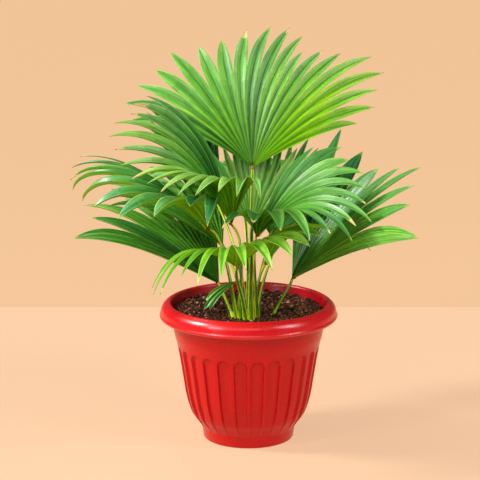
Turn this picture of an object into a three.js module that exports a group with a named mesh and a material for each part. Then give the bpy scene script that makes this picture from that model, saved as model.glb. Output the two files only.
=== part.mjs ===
// A young Chinese fan palm in a fluted plastic pot.
// Millimetres, +Z up. The origin is the centre of the pot's flat underside, and -Y is the front.
import * as THREE from 'three';

const DEG = Math.PI / 180;
const CLEARANCE = 0.3;            // between pieces that touch

// ---------------------------------------------------------------- driving dimensions

// Half sections of the pot as [radius, height]: foot and belly, rolled rim, inside.
const POT_OUTSIDE = [[50.5, 0], [52.5, 13], [59.5, 23], [68.1, 41], [72.9, 64.6], [78.5, 100],
  [80.4, 108], [83.7, 122], [85, 137]];
const POT_RIM = [[96, 139], [100, 144], [97.5, 152], [91, 157], [87, 155]];
const POT_INSIDE = [[81, 137], [62, 41], [44, 4]];
const FLUTES = 26;
const FLUTE_DEPTH = 2.2;
const FLUTE_FOOT_Z = 14;
const FLUTE_TOP_Z = 107;
const SOIL_EDGE_Z = 147;
const SOIL_MIDDLE_Z = 148.5;
const SOIL_SIDES = 26;

const PETIOLE_SIDES = 8;
const PETIOLE_STEPS = 7;

const BLADE_THICKNESS = 2;
const BLADE_START = 2.2;          // inner radius of a blade, round the petiole's tip
const PLEAT = 20;                 // slope of the pleats, degrees
const RIB_STEPS = 48;             // steps of a rib's path
const RIB_OVERRUN = 1.4;          // a rib's path is worked out this far past the reach
const JOINED_ROWS = 2;            // rows of faces from the petiole to the notches
const LENGTH_SPREAD = 0.05;       // how much leaflets of one frond differ in length
const DROOP_SPREAD = 0.2;         // ... in droop
const YAW_SPREAD = 0.12;          // ... and in direction
const NOTCH_SPREAD = 0.08;        // how much the depths of the notches differ
const LEAFLET_TAPER = 2;        // power of its taper: higher keeps it wide for longer

// What a frond has unless its own line below says otherwise. Angles are in degrees.
const COMMON = {
  leaflets: 13, ribs: 1,          // free leaflets, and the ribs in each
  freeRows: 3,                    // rows of faces from the notches to the tips
  spread: 150,                    // angle from margin to margin
  crowd: 0, lean: 0,              // leaflets closer at the margins, or towards the right
  reach: 150,                     // hub to the tip of the middle leaflet
  side: 0.95, skew: 0,            // length of the outer leaflets, and of right over left
  split: 0.6, splitSide: 0.6,     // depth of the notches, in the middle and at the margins
  full: 0.3,                      // how far free leaflets widen with the fan, from 0 to 1
  roll: 0,                        // the blade turned about its axis
  cup: 0, fold: 0,                // the blade as a cone, and its halves lifted as a V
  droop: 40, power: 1.3,          // fall under its own weight, and how late it starts
  bend: 0, sweep: 0,              // leaflets curving outwards, or all to one side
  arch: [0, 0, 30],               // ... or those about one angle: degrees, angle, how far about
  odd: [],                        // single leaflets of another length: [index, factor]
  upright: 0.55,                  // how far up the petiole stays steep, as a share of its rise
  splay: 0.1,                     // how far it leans out on the way there, as a share of its reach
  follow: 0.5,                    // how much its tip follows the blade's axis, from 0 to 1
  stalk: [2.3, 1.6],              // the petiole's radius at the soil and at the hub
  seed: 1,                        // for what differs among the leaflets
};

// Each frond: its hub, the direction of its axis there, and how its petiole leaves the soil.
const FRONDS = [
  { name: 'top', hub: [4.5, 5, 309], az: 83, el: 73, base: [2, -46.5], splay: 0.15, full: 0.8,
    stalk: [2.8, 1.6], follow: 0.7, leaflets: 19, freeRows: 2, spread: 115, lean: -0.03, crowd: 0.03,
    reach: 170, side: 1.07, skew: 0.03, split: 0.7, splitSide: 0.56, roll: 5, cup: -12, fold: 0,
    droop: 24, power: 0.7, bend: 21, sweep: -4, arch: [35, -9, 28], odd: [[0, 0.88], [2, 1.06],
    [6, 0.93], [7, 1.06], [9, 1.09], [11, 0.94], [14, 1.15], [15, 1.17], [17, 0.88], [18, 0.72]] },
  { name: 'upper_left', hub: [-19, -25, 251], az: -143, el: -2, base: [-8, -43.5], splay: 0.25,
    leaflets: 15, spread: 149, lean: -0.16, crowd: -0.17, reach: 193, side: 0.9, skew: 0.02,
    split: 0.62, splitSide: 0.62, roll: -16, cup: 54, fold: 23, droop: 81, power: 0.7, bend: -19,
    sweep: -4, arch: [42, -1, 54], odd: [[4, 0.94], [6, 0.91], [8, 0.92], [11, 1.09]] },
  { name: 'left', hub: [-44, -15, 243], az: -125, el: -12, base: [-13, -38.5], splay: 0.3, follow: 0.7,
    leaflets: 10, spread: 126, lean: 0.28, crowd: 0.18, reach: 168, side: 0.94, skew: 0.12, split: 0.62,
    splitSide: 0.62, roll: -3, cup: 50, fold: 7, droop: 80, power: 0.9, bend: -3, sweep: 30,
    arch: [48, 24, 23], odd: [[0, 1.12], [1, 0.84], [4, 0.94], [5, 1.12], [6, 1.12], [7, 1.12]] },
  { name: 'low_left', hub: [-33, -5, 179], az: 150, el: 32, base: [-18.5, -33], full: 0.6, splay: 0.5,
    stalk: [3.2, 1.7], leaflets: 7, ribs: 3, freeRows: 2, spread: 102, lean: 0.29, crowd: 0.17,
    reach: 166, side: 1.1, skew: 0.03, split: 0.58, splitSide: 0.58, roll: 3, cup: 4, fold: 4,
    droop: 27, bend: -8, sweep: 8, arch: [-33, -1, 38], odd: [[1, 0.94], [2, 1.14]] },
  { name: 'low_right', hub: [48.5, -5, 184], az: 7, el: 65, base: [28, -17], full: 0.6, splay: 0.5,
    stalk: [2.4, 1.7], leaflets: 8, ribs: 3, freeRows: 2, spread: 116, lean: 0.23, crowd: -0.3,
    reach: 179, side: 1.25, skew: 0.03, roll: 7, cup: -11, fold: 10, droop: 15, power: 0.7, bend: -9,
    sweep: -2, arch: [17, 15, 39], odd: [[0, 1.12], [1, 0.86], [2, 0.89], [4, 1.13], [5, 1.13],
    [7, 1.12]] },
  { name: 'right', hub: [8, -39, 241], az: -33, el: 4, base: [9, -40], upright: 0.4, splay: 0.25,
    follow: 0.2, leaflets: 14, spread: 133, lean: -0.06, crowd: -0.3, reach: 166, side: 0.74,
    skew: 0.05, split: 0.62, roll: 15, cup: 37, fold: 22, droop: 83, power: 0.7, bend: 24, sweep: 9,
    arch: [-15, 20, 32], odd: [[0, 0.92], [4, 0.94], [12, 0.9]] },
  { name: 'front', hub: [-13, -50, 209], az: -69, el: 4, base: [-3.3, -47], splay: 0.3,
    stalk: [2.2, 1.8], leaflets: 12, spread: 118, lean: 0.36, crowd: -0.11, reach: 156, side: 0.98,
    skew: 0.11, split: 0.55, splitSide: 0.58, roll: 6, cup: 35, fold: 0, droop: 74, power: 0.7,
    bend: -21, sweep: -12, arch: [27, 49, 27],
    odd: [[0, 0.89], [1, 0.88], [7, 1.08], [8, 0.91], [9, 1.11]] },
  { name: 'mid_right', hub: [18, -4, 200], az: -26, el: 47, base: [6, -32], follow: 0.75, leaflets: 8,
    spread: 66, reach: 74, roll: -10, cup: 13, fold: 8, droop: 67 },
  { name: 'back_left', hub: [-35, 56, 257], az: 150, el: 49, base: [-3, -34], follow: 0.7, leaflets: 11,
    spread: 84, reach: 134, roll: 6, cup: 8, fold: 6, droop: 25, power: 1.2 },
  { name: 'centre_back', hub: [4, 16, 238], az: 87, el: 78, base: [1, -31], full: 0.6, leaflets: 12,
    freeRows: 2, spread: 85, lean: -0.06, crowd: -0.2, reach: 103, roll: 10, fold: 11, droop: 27,
    power: 0.7, sweep: -11, arch: [27, -19, 22] },
  { name: 'back_right', hub: [34, 43, 226], az: 52, el: 62, base: [10, -28], spread: 98, reach: 112,
    roll: 10, cup: 7, fold: 10, droop: 42 },
  { name: 'rear_left', hub: [-29, 44, 211], az: 148, el: 26, base: [-6, -24], spread: 99, reach: 154,
    cup: 11, fold: 10, droop: 40 },
  { name: 'rear_right', hub: [27, 57, 217], az: 61, el: 8, base: [6, -21], roll: 10, spread: 104,
    reach: 132, cup: 2, fold: 8, droop: 55 },
  { name: 'rear', hub: [-4, 56, 243], az: 100, el: 22, base: [0, -19], spread: 104, reach: 150, cup: 10,
    fold: 10, droop: 69 },
  { name: 'young', hub: [-11.5, -33, 189], az: 208, el: -14, base: [-13.5, -28], stalk: [1.8, 1.2],
    leaflets: 3, freeRows: 2, spread: 24, reach: 50, side: 0.8, split: 0.9, splitSide: 0.9, roll: -55,
    cup: 0, fold: 8, droop: 55, power: 0.6 },
];

// ---------------------------------------------------------------- small helpers

const clamp = (x, low, high) => Math.min(high, Math.max(low, x));
const lerp = (a, b, w) => a + (b - a) * w;

// A repeatable number from -1 to 1.
function noise(seed, index, channel) {
  const v = Math.sin(seed * 12.9898 + index * 78.233 + channel * 37.719) * 43758.5453;
  return (v - Math.floor(v)) * 2 - 1;
}

function direction(azimuth, elevation) {
  const flat = Math.cos(elevation * DEG);
  return new THREE.Vector3(flat * Math.cos(azimuth * DEG), flat * Math.sin(azimuth * DEG),
    Math.sin(elevation * DEG));
}

function solid(points, triangles) {
  const geometry = new THREE.BufferGeometry();
  geometry.setAttribute('position', new THREE.Float32BufferAttribute(points.flatMap((p) => p.toArray()), 3));
  geometry.setIndex(triangles.flat());
  geometry.computeVertexNormals();
  return geometry;
}

// ---------------------------------------------------------------- a fan blade

// Axis, upper normal and right-hand side of a blade at its hub.
function bladeFrame({ az, el, roll }) {
  const axis = direction(az, el);
  const level = new THREE.Vector3().crossVectors(axis, direction(az, el + 90));
  const normal = direction(az, el + 90).multiplyScalar(Math.cos(roll * DEG))
    .addScaledVector(level, Math.sin(roll * DEG));
  return { axis, normal, side: new THREE.Vector3().crossVectors(axis, normal) };
}

// Angle from the axis of the line at t, which runs from -1 at the left margin to 1.
function lineAngle(leaf, t) {
  return leaf.spread / 2 * DEG * (t * (1 + leaf.crowd * (1 - t * t)) + leaf.lean * (1 - t * t));
}

// The path of one line of the blade from the hub outwards: it starts at its angle on the folded
// cone and then falls, more and more, under its own weight. Past its notch it hangs freely.
function linePath(leaf, angle, notch = Infinity, extraDroop = 0, yaw = 0) {
  const { axis, normal, side } = bladeFrame(leaf);
  const fold = leaf.fold * DEG * clamp(Math.abs(angle) / 0.35, 0, 1);
  const cup = leaf.cup * DEG;
  const [c, s] = [Math.cos(angle), Math.sin(angle)];
  const heading = new THREE.Vector3().addScaledVector(axis, c).addScaledVector(side, s * Math.cos(fold))
    .addScaledVector(normal, Math.abs(s) * Math.sin(fold)).normalize()
    .multiplyScalar(Math.cos(cup)).addScaledVector(normal, Math.sin(cup)).normalize();
  const across = new THREE.Vector3().addScaledVector(axis, -s).addScaledVector(side, c * Math.cos(fold))
    .addScaledVector(normal, Math.sign(angle) * c * Math.sin(fold));
  const square = () => across.addScaledVector(heading, -across.dot(heading)).normalize();
  square();
  const step = leaf.reach * RIB_OVERRUN / RIB_STEPS;
  const [archTurn, archAngle, archWidth] = leaf.arch;
  const turn = leaf.bend * Math.sin(angle) + leaf.sweep
    + archTurn * Math.exp(-(((angle / DEG - archAngle) / archWidth) ** 2));
  const at = new THREE.Vector3();
  const path = [{ at: at.clone(), heading: heading.clone(), across: across.clone() }];
  for (let k = 0; k < RIB_STEPS; k += 1) {
    const r = (k + 0.5) * step;
    const rate = (leaf.power + 1) * (r / leaf.reach) ** leaf.power * step / leaf.reach;
    const free = clamp((r - notch) / (0.25 * leaf.reach), 0, 1);
    const down = new THREE.Vector3(0, 0, -1).addScaledVector(heading, heading.z);
    heading.addScaledVector(down, leaf.droop * DEG * rate * (1 + extraDroop * free))
      .addScaledVector(across, yaw * free * step / leaf.reach + turn * DEG * rate).normalize();
    square();
    at.addScaledVector(heading, step);
    path.push({ at: at.clone(), heading: heading.clone(), across: across.clone() });
  }
  return { path, step };
}

// Place, sideways direction and upper normal on a path at radius r.
function onPath({ path, step }, r) {
  const x = clamp(r / step, 0, RIB_STEPS - 1e-6);
  const k = Math.floor(x);
  const [a, b] = [path[k], path[k + 1]];
  const across = a.across.clone().lerp(b.across, x - k).normalize();
  const heading = a.heading.clone().lerp(b.heading, x - k).normalize();
  const normal = new THREE.Vector3().crossVectors(across, heading);
  return { at: a.at.clone().lerp(b.at, x - k), across, normal };
}

// A pleated fan: its leaflets share their edges as far as the notches, and are free from there.
function fanBlade(given) {
  const leaf = { ...COMMON, ...given };
  const n = leaf.leaflets;
  const columns = 2 * leaf.ribs;
  const rows = JOINED_ROWS + leaf.freeRows;
  const hub = new THREE.Vector3(...leaf.hub);

  // The lines between leaflets, where the notches are cut.
  const edges = [];
  for (let b = 0; b <= n; b += 1) {
    const t = b / n * 2 - 1;
    const depth = lerp(leaf.split, leaf.splitSide, t * t) * (1 + NOTCH_SPREAD * noise(leaf.seed, b, 9));
    edges.push({ angle: lineAngle(leaf, t), notch: leaf.reach * depth });
  }
  edges[0].notch = edges[1].notch * 0.6;
  edges[n].notch = edges[n - 1].notch * 0.6;
  edges.forEach((edge, b) => {
    const [before, after] = [Math.max(b - 1, 0), Math.min(b + 1, n)];
    edge.width = (edges[after].angle - edges[before].angle) / (after - before);
    edge.line = linePath(leaf, edge.angle);
  });

  const points = [];
  const triangles = [];
  const keep = (at, normal) => {
    const half = BLADE_THICKNESS / 2;
    points.push(hub.clone().add(at).addScaledVector(normal, half));
    points.push(hub.clone().add(at).addScaledVector(normal, -half));
    return points.length - 2;      // the upper one; the lower one follows it
  };
  const quad = (a, b, c, d) => triangles.push([a, b, c], [a, c, d]);
  const pleatRise = (r, width) => r * width / columns * Math.tan(PLEAT * DEG)
    * clamp(1.2 - r / leaf.reach, 0.45, 1);
  let previousEdge = null;

  for (let i = 0; i < n; i += 1) {
    const t = (i + 0.5) / n * 2 - 1;
    const [left, right] = [edges[i], edges[i + 1]];
    const angle = lineAngle(leaf, t);
    const odd = leaf.odd.find(([index]) => index === i);
    const length = leaf.reach * (1 - (1 - leaf.side) * t * t) * (1 + leaf.skew * t)
      * (1 + LENGTH_SPREAD * noise(leaf.seed, i, 0)) * (odd ? odd[1] : 1);
    const middle = {
      notch: (left.notch + right.notch) / 2,
      width: right.angle - left.angle,
      line: linePath(leaf, angle, Math.min(left.notch, right.notch),
        DROOP_SPREAD * noise(leaf.seed, i, 1), YAW_SPREAD * noise(leaf.seed, i, 2)),
    };
    const grid = [];               // vertex numbers, row by row
    for (let row = 0; row < rows; row += 1) {
      grid.push([]);
      const joined = Math.min(row / JOINED_ROWS, 1);
      const out = Math.max(row - JOINED_ROWS, 0) / leaf.freeRows;
      const along = 1 - (1 - out) ** 1.1;
      const profile = (1 + leaf.full * (length / middle.notch - 1) * along)
        * (1 - along ** LEAFLET_TAPER);
      for (let c = 0; c <= columns; c += 1) {
        if (c === 0 && previousEdge && row <= JOINED_ROWS) {
          grid[row].push(previousEdge[row]);
          continue;
        }
        const x = c / columns * 2 - 1;
        const w = Math.abs(x);
        const edge = x < 0 ? left : right;
        const notch = lerp(middle.notch, edge.notch, w);
        const onSheet = (r1, r2, rise) => {
          const [m, e] = [onPath(middle.line, r1), onPath(edge.line, r2)];
          const normal = m.normal.clone().lerp(e.normal, w).normalize();
          return { at: m.at.lerp(e.at, w).addScaledVector(normal, c % 2 ? 0 : rise), normal };
        };
        const radiusAt = (end) => lerp(BLADE_START, end, joined);
        const [rm, re] = [radiusAt(middle.notch), radiusAt(edge.notch)];
        const rise = lerp(pleatRise(rm, middle.width), pleatRise(re, edge.width), w);
        const place = onSheet(rm, re, rise);
        if (row <= JOINED_ROWS) {
          grid[row].push(keep(place.at, place.normal));
          continue;
        }
        const start = onPath(middle.line, notch);
        const offset = place.at.sub(start.at);
        const here = onPath(middle.line, notch + (length - notch) * along);
        here.at.addScaledVector(here.across, offset.dot(start.across) * profile)
          .addScaledVector(here.normal, offset.dot(start.normal) * profile);
        grid[row].push(keep(here.at, here.normal));
      }
    }
    const tipPlace = onPath(middle.line, length);
    const tip = keep(tipPlace.at, tipPlace.normal);
    const last = rows - 1;
    for (let row = 0; row < last; row += 1) {
      for (let c = 0; c < columns; c += 1) {
        const [a, b, d, e] = [grid[row][c], grid[row][c + 1], grid[row + 1][c + 1], grid[row + 1][c]];
        quad(a, b, d, e);
        quad(b + 1, a + 1, e + 1, d + 1);
      }
    }
    for (let c = 0; c < columns; c += 1) {
      triangles.push([grid[last][c], grid[last][c + 1], tip]);
      triangles.push([grid[last][c + 1] + 1, grid[last][c] + 1, tip + 1]);
      quad(grid[0][c], grid[0][c] + 1, grid[0][c + 1] + 1, grid[0][c + 1]);
    }
    const wall = (column, from, outwards) => {
      for (let row = from; row < rows; row += 1) {
        const a = grid[row][column];
        const b = row === last ? tip : grid[row + 1][column];
        if (outwards < 0) quad(a, b, b + 1, a + 1);
        else quad(b, a, a + 1, b + 1);
      }
    };
    wall(0, i === 0 ? 0 : JOINED_ROWS, -1);
    wall(columns, i === n - 1 ? 0 : JOINED_ROWS, 1);
    previousEdge = grid.slice(0, JOINED_ROWS + 1).map((line) => line[columns]);
  }
  return solid(points, triangles);
}

// ---------------------------------------------------------------- petioles

// The path of a petiole: steep out of the soil, then over to the hub of its blade.
function petioleCurve(given) {
  const leaf = { ...COMMON, ...given };
  const hub = new THREE.Vector3(...leaf.hub);
  const base = new THREE.Vector3(...leaf.base, soilHeight(Math.hypot(...leaf.base)) + CLEARANCE);
  const rise = hub.z - base.z;
  const { axis } = bladeFrame(leaf);
  const ahead = new THREE.Vector3(0, 0, 1).lerp(axis, leaf.follow).normalize();
  const open = BLADE_START * Math.cos(Math.min(leaf.spread / 2, 90) * DEG);
  const tip = hub.clone().addScaledVector(ahead, Math.max(open - 0.35, 0));
  const leaning = new THREE.Vector3(hub.x - base.x, hub.y - base.y, 0).multiplyScalar(leaf.splay);
  leaning.z = rise * leaf.upright;
  return new THREE.CubicBezierCurve3(base, base.clone().add(leaning),
    tip.clone().addScaledVector(ahead, -rise * 0.3), tip);
}

// A limb that tapers along a curve, with flat ends square to it.
function taperedLimb(curve, startRadius, endRadius) {
  const points = [];
  const triangles = [];
  const back = new THREE.Vector3(0, 1, 0);
  for (let k = 0; k <= PETIOLE_STEPS; k += 1) {
    const u = k / PETIOLE_STEPS;
    const centre = curve.getPoint(u);
    const along = k === 0 ? new THREE.Vector3(0, 0, 1) : curve.getTangent(u);
    const right = new THREE.Vector3().crossVectors(back, along).normalize();
    const front = new THREE.Vector3().crossVectors(along, right);
    const radius = lerp(startRadius, endRadius, Math.sqrt(u));
    for (let j = 0; j < PETIOLE_SIDES; j += 1) {
      const turn = j / PETIOLE_SIDES * 2 * Math.PI;
      points.push(centre.clone().addScaledVector(right, radius * Math.cos(turn))
        .addScaledVector(front, radius * Math.sin(turn)));
    }
  }
  const ring = (k, j) => k * PETIOLE_SIDES + j % PETIOLE_SIDES;
  for (let k = 0; k < PETIOLE_STEPS; k += 1) {
    for (let j = 0; j < PETIOLE_SIDES; j += 1) {
      const [a, b, c, d] = [ring(k, j), ring(k, j + 1), ring(k + 1, j + 1), ring(k + 1, j)];
      triangles.push([a, b, c], [a, c, d]);
    }
  }
  for (let j = 1; j < PETIOLE_SIDES - 1; j += 1) {
    triangles.push([ring(0, 0), ring(0, j + 1), ring(0, j)]);
    triangles.push([ring(PETIOLE_STEPS, 0), ring(PETIOLE_STEPS, j), ring(PETIOLE_STEPS, j + 1)]);
  }
  return solid(points, triangles);
}

// ---------------------------------------------------------------- pot and soil

const section = (points) => points.map(([r, z]) => new THREE.Vector2(r, z));

// A solid of revolution about Z, from the axis round its half section and back to the axis.
function turned(points, sides) {
  return new THREE.LatheGeometry(section(points), sides).rotateX(Math.PI / 2).rotateZ(Math.PI / 2);
}

// The pot is turned, and then its belly is pressed in between the ridges of the flutes.
function potGeometry() {
  const outline = [[0, 0], ...POT_OUTSIDE, ...POT_RIM, ...POT_INSIDE, [0, POT_INSIDE.at(-1)[1]]];
  const geometry = turned(outline, 3 * FLUTES);
  const position = geometry.attributes.position;
  const outside = POT_OUTSIDE.map(([r]) => r);
  for (let i = 0; i < position.count; i += 1) {
    const [x, y, z] = [position.getX(i), position.getY(i), position.getZ(i)];
    const radius = Math.hypot(x, y);
    const belly = z > FLUTE_FOOT_Z && z < FLUTE_TOP_Z
      && outside.some((r) => Math.abs(r - radius) < 0.01);
    const column = Math.round(Math.atan2(y, x) / (2 * Math.PI) * 3 * FLUTES + 3 * FLUTES) % 3;
    if (belly && column === 0) {
      const inwards = (radius - FLUTE_DEPTH) / radius;
      position.setXY(i, x * inwards, y * inwards);
    }
  }
  return geometry;
}

function soilHeight(radius) {
  return lerp(SOIL_MIDDLE_Z, SOIL_EDGE_Z, Math.min(radius / POT_INSIDE[0][0], 1));
}

function soilGeometry() {
  const [wide, waist, floor] = POT_INSIDE;
  const [rimRadius, rimZ] = POT_RIM.at(-1);
  const edge = lerp(wide[0], rimRadius, (SOIL_EDGE_Z - wide[1]) / (rimZ - wide[1]));
  const gap = 2 * CLEARANCE;
  const outline = [[0, floor[1] + gap], [floor[0] - gap, floor[1] + gap], [waist[0] - gap, waist[1]],
    [wide[0] - gap, wide[1]], [edge - gap, SOIL_EDGE_Z], [0, SOIL_MIDDLE_Z]];
  return turned(outline, SOIL_SIDES);
}

// ---------------------------------------------------------------- the plant

const PLASTIC = new THREE.MeshStandardMaterial({ color: 0xc81a1c, roughness: 0.3, metalness: 0 });
const SOIL = new THREE.MeshStandardMaterial({ color: 0x3a2519, roughness: 1, metalness: 0 });
const LEAF = new THREE.MeshStandardMaterial({ color: 0x3c8020, roughness: 0.5, metalness: 0 });
const STALK = new THREE.MeshStandardMaterial({ color: 0x86a030, roughness: 0.5, metalness: 0 });

const group = new THREE.Group();

function addPiece(name, geometry, material) {
  const mesh = new THREE.Mesh(geometry, material.clone());
  mesh.name = name;
  group.add(mesh);
}

addPiece('pot', potGeometry(), PLASTIC);
addPiece('soil', soilGeometry(), SOIL);
for (const frond of FRONDS) {
  addPiece(`petiole_${frond.name}`,
    taperedLimb(petioleCurve(frond), ...(frond.stalk ?? COMMON.stalk)), STALK);
  addPiece(`frond_${frond.name}`, fanBlade(frond), LEAF);
}

export default group;
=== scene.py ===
# %% [markdown]
# # A young fan palm in a red pot
#
# The real object is a houseplant: a young Chinese fan palm with fifteen leaves, in a plastic pot of
# 200 mm with a rolled rim and a fluted belly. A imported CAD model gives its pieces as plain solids.
# This lesson keeps their places and puts finer pieces over them: pleated blades, smooth stalks, a
# moulded pot and crumbly soil. Everything is worked out in millimetres and turned into metres once.

# %% Load the solids
import math

import bpy
import numpy as np
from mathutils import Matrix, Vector, noise as hills


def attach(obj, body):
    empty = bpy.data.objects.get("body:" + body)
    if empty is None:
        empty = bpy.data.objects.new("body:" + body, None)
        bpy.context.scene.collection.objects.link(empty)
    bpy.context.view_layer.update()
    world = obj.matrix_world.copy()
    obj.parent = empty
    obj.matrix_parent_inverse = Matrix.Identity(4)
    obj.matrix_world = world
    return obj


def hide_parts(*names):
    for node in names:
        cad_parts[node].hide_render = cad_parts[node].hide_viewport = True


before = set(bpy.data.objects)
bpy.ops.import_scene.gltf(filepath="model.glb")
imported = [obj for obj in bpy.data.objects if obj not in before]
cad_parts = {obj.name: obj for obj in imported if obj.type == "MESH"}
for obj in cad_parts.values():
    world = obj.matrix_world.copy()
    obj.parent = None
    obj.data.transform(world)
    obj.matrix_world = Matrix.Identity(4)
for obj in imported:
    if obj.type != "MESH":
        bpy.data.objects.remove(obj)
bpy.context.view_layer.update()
MM = 0.001
SEED = 7
print("solids:", len(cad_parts))

# %% [markdown]
# ## The camera
#
# A long lens from a little above keeps the pot's sides upright and still shows the soil. The camera
# comes first, so that every later piece can be judged in the same view.

# %% Place the camera
CAMERA_PLACE = (-0.0096, -2.190, 0.737)
CAMERA_TILT = 76.9          # degrees from straight down
CAMERA_LENS, SENSOR_WIDTH = 151.35, 36.0          # mm

camera_data = bpy.data.cameras.new("camera")
camera_data.lens = CAMERA_LENS
camera_data.sensor_width = SENSOR_WIDTH
camera = bpy.data.objects.new("camera", camera_data)
camera.location = CAMERA_PLACE
camera.rotation_euler = (math.radians(CAMERA_TILT), 0.0, 0.0)
bpy.context.scene.collection.objects.link(camera)
bpy.context.scene.camera = camera
print("camera at", CAMERA_PLACE, "looks down by", round(90 - CAMERA_TILT, 1), "degrees")

# %% [markdown]
# ## Colours and shares
#
# Colours are chosen as they look on a screen, from 0 to 255, while shaders want linear light, so one
# helper converts them. Blender's colour picker would do that by itself, but then no number could be
# read in the script. The others blend two values and turn a distance into a share from 0 to 1.


# %% Colour helpers
def screen(red, green, blue):
    """A screen colour as linear light."""
    share = np.array([red, green, blue]) / 255
    return np.where(share <= 0.04045, share / 12.92, ((share + 0.055) / 1.055) ** 2.4)


def opaque(colour):
    """A colour with the fourth number that shader sockets want."""
    return (*(float(c) for c in colour), 1.0)


def lerp(a, b, w):
    return a + (b - a) * w


def ramp(x, low, high):
    """0 below low, 1 above high, and a straight line between them."""
    return np.clip((x - low) / (high - low), 0, 1)


def unit(v):
    return v / np.maximum(np.linalg.norm(v, axis=-1, keepdims=True), 1e-12)


print("a mid green is", np.round(screen(70, 150, 30), 3))


# %% [markdown]
# ## Meshes from arrays
#
# A leaf of ten thousand faces is slow to build with hand tools and quick in numpy, so every mesh of
# the object comes from arrays of points and faces. Each piece is tied to the object, gets the slot of
# its material and says which solid it stands for. Materials and maps are then dealt out by face.


# %% A mesh from arrays
def mesh_piece(name, points, faces, node, smooth=True):
    """A piece of the object, from points in millimetres, that stands for the solid of a node."""
    faces = faces.tolist() if isinstance(faces, np.ndarray) else faces
    data = bpy.data.meshes.new(name)
    data.from_pydata((np.asarray(points, float) * MM).tolist(), [], faces)
    data.polygons.foreach_set("use_smooth", [smooth] * len(data.polygons))
    data.update()
    piece = bpy.data.objects.new(name, data)
    bpy.context.scene.collection.objects.link(piece)
    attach(piece, "root")
    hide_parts(node)
    return piece


def ring_faces(number):
    """Faces between rings of points, from the points' numbers as [ring, side]."""
    a, b = number[:-1], np.roll(number[:-1], -1, 1)
    c, d = np.roll(number[1:], -1, 1), number[1:]
    return np.stack([a, b, c, d], -1).reshape(-1, 4)


def paint(piece, materials, choice):
    """Gives each face one of these materials. Materials that no face uses are left out."""
    used, index = np.unique(choice, return_inverse=True)
    for k in used:
        piece.data.materials.append(materials[k])
    piece.data.polygons.foreach_set("material_index", index.astype(np.int32).ravel())
    piece.data.update()


def lay_map(piece, name, corners):
    """A UV map from one pair of numbers for each corner of each face."""
    layer = piece.data.uv_layers.new(name=name)
    layer.data.foreach_set("uv", np.asarray(corners, np.float32).ravel())


print("two rings of six points make", len(ring_faces(np.arange(12).reshape(2, 6))), "faces")


# %% [markdown]
# ## How leaf is shaded
#
# Palm leaf is green with fine parallel veins and a waxy face that catches broad soft lights. Its
# colour changes over a frond: deep near the hub, where the green is partly painted shade of the crown,
# fresh or bluish further out, straw at the tips. One gradient texture would do that, but it is tied to
# how a leaf is unwrapped. Here a palette of plain greens is dealt out face by face, and each green has
# the same veins, drawn along the leaflet.

# %% The palette of greens
LIGHT_STEPS, WARM_STEPS = 14, 5
DEEP = (screen(2, 48, 6), screen(30, 70, 0))               # cool, then warm
MIDDLE = (screen(50, 130, 60), screen(110, 178, 0))
PALE = (screen(152, 208, 150), screen(206, 236, 66))


def green(light, warm):
    """A green from deep to pale and from bluish to yellowish, both from 0 to 1."""
    deep, middle, pale = (lerp(*ends, warm) for ends in (DEEP, MIDDLE, PALE))
    return lerp(deep, middle, light * 2) if light < 0.5 else lerp(middle, pale, light * 2 - 1)


print("palette of", LIGHT_STEPS * WARM_STEPS, "greens")


# %% [markdown]
# ## Veins in the leaf
#
# The veins run along each leaflet, so their noise follows a map named grain, which counts half pleats
# across the fan and centimetres from the hub. Noise in plain space would run straight through the
# folds. The same noise lightens and darkens the green in streaks, and a finer one raises the veins.


# %% Nodes for veined leaf
def start_material(name, roughness):
    """A new material with its node tree, its links and its shader."""
    material = bpy.data.materials.new(name)
    material.use_nodes = True
    tree = material.node_tree
    shader = tree.nodes["Principled BSDF"]
    shader.inputs["Roughness"].default_value = roughness
    return material, tree, shader


def grain_noise(tree, scale, detail=2.0):
    """Noise along the map named grain, stretched by these two numbers."""
    grain = tree.nodes.new("ShaderNodeUVMap")
    grain.uv_map = "grain"
    stretch = tree.nodes.new("ShaderNodeMapping")
    stretch.inputs["Scale"].default_value = (*scale, 1.0)
    texture = tree.nodes.new("ShaderNodeTexNoise")
    texture.inputs["Scale"].default_value = 1.0
    texture.inputs["Detail"].default_value = detail
    tree.links.new(grain.outputs["UV"], stretch.inputs["Vector"])
    tree.links.new(stretch.outputs["Vector"], texture.inputs["Vector"])
    return texture.outputs["Fac"]


NOISE_LOW, NOISE_HIGH = 0.35, 0.65      # nearly all of the noise lies between these


def vary(tree, factor, socket, low, high):
    """Drives a colour or a number between two values by a factor."""
    between = tree.nodes.new("ShaderNodeMapRange")
    between.inputs["From Min"].default_value = NOISE_LOW
    between.inputs["From Max"].default_value = NOISE_HIGH
    tree.links.new(factor, between.inputs["Value"])
    if np.ndim(low) == 0:
        between.inputs["To Min"].default_value = low
        between.inputs["To Max"].default_value = high
        tree.links.new(between.outputs["Result"], socket)
        return
    mix = tree.nodes.new("ShaderNodeMix")
    mix.data_type = "RGBA"
    tree.links.new(between.outputs["Result"], mix.inputs["Factor"])
    mix.inputs["A"].default_value = opaque(low)
    mix.inputs["B"].default_value = opaque(high)
    tree.links.new(mix.outputs["Result"], socket)


def relief(tree, factor, shader, height):
    """Bump from a factor, with its height in millimetres."""
    bump = tree.nodes.new("ShaderNodeBump")
    bump.inputs["Distance"].default_value = height * MM
    tree.links.new(factor, bump.inputs["Height"])
    tree.links.new(bump.outputs["Normal"], shader.inputs["Normal"])


print("noise from", NOISE_LOW, "to", NOISE_HIGH, "drives each colour from end to end")


# %% Leaf of one green
STREAKS = 0.18              # how much lighter and darker the streaks are
STREAK_GRAIN, VEIN_GRAIN = (2.4, 0.30), (7.0, 0.15)       # noise across and along the leaflet
VEIN_HEIGHT = 0.06          # mm


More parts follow.
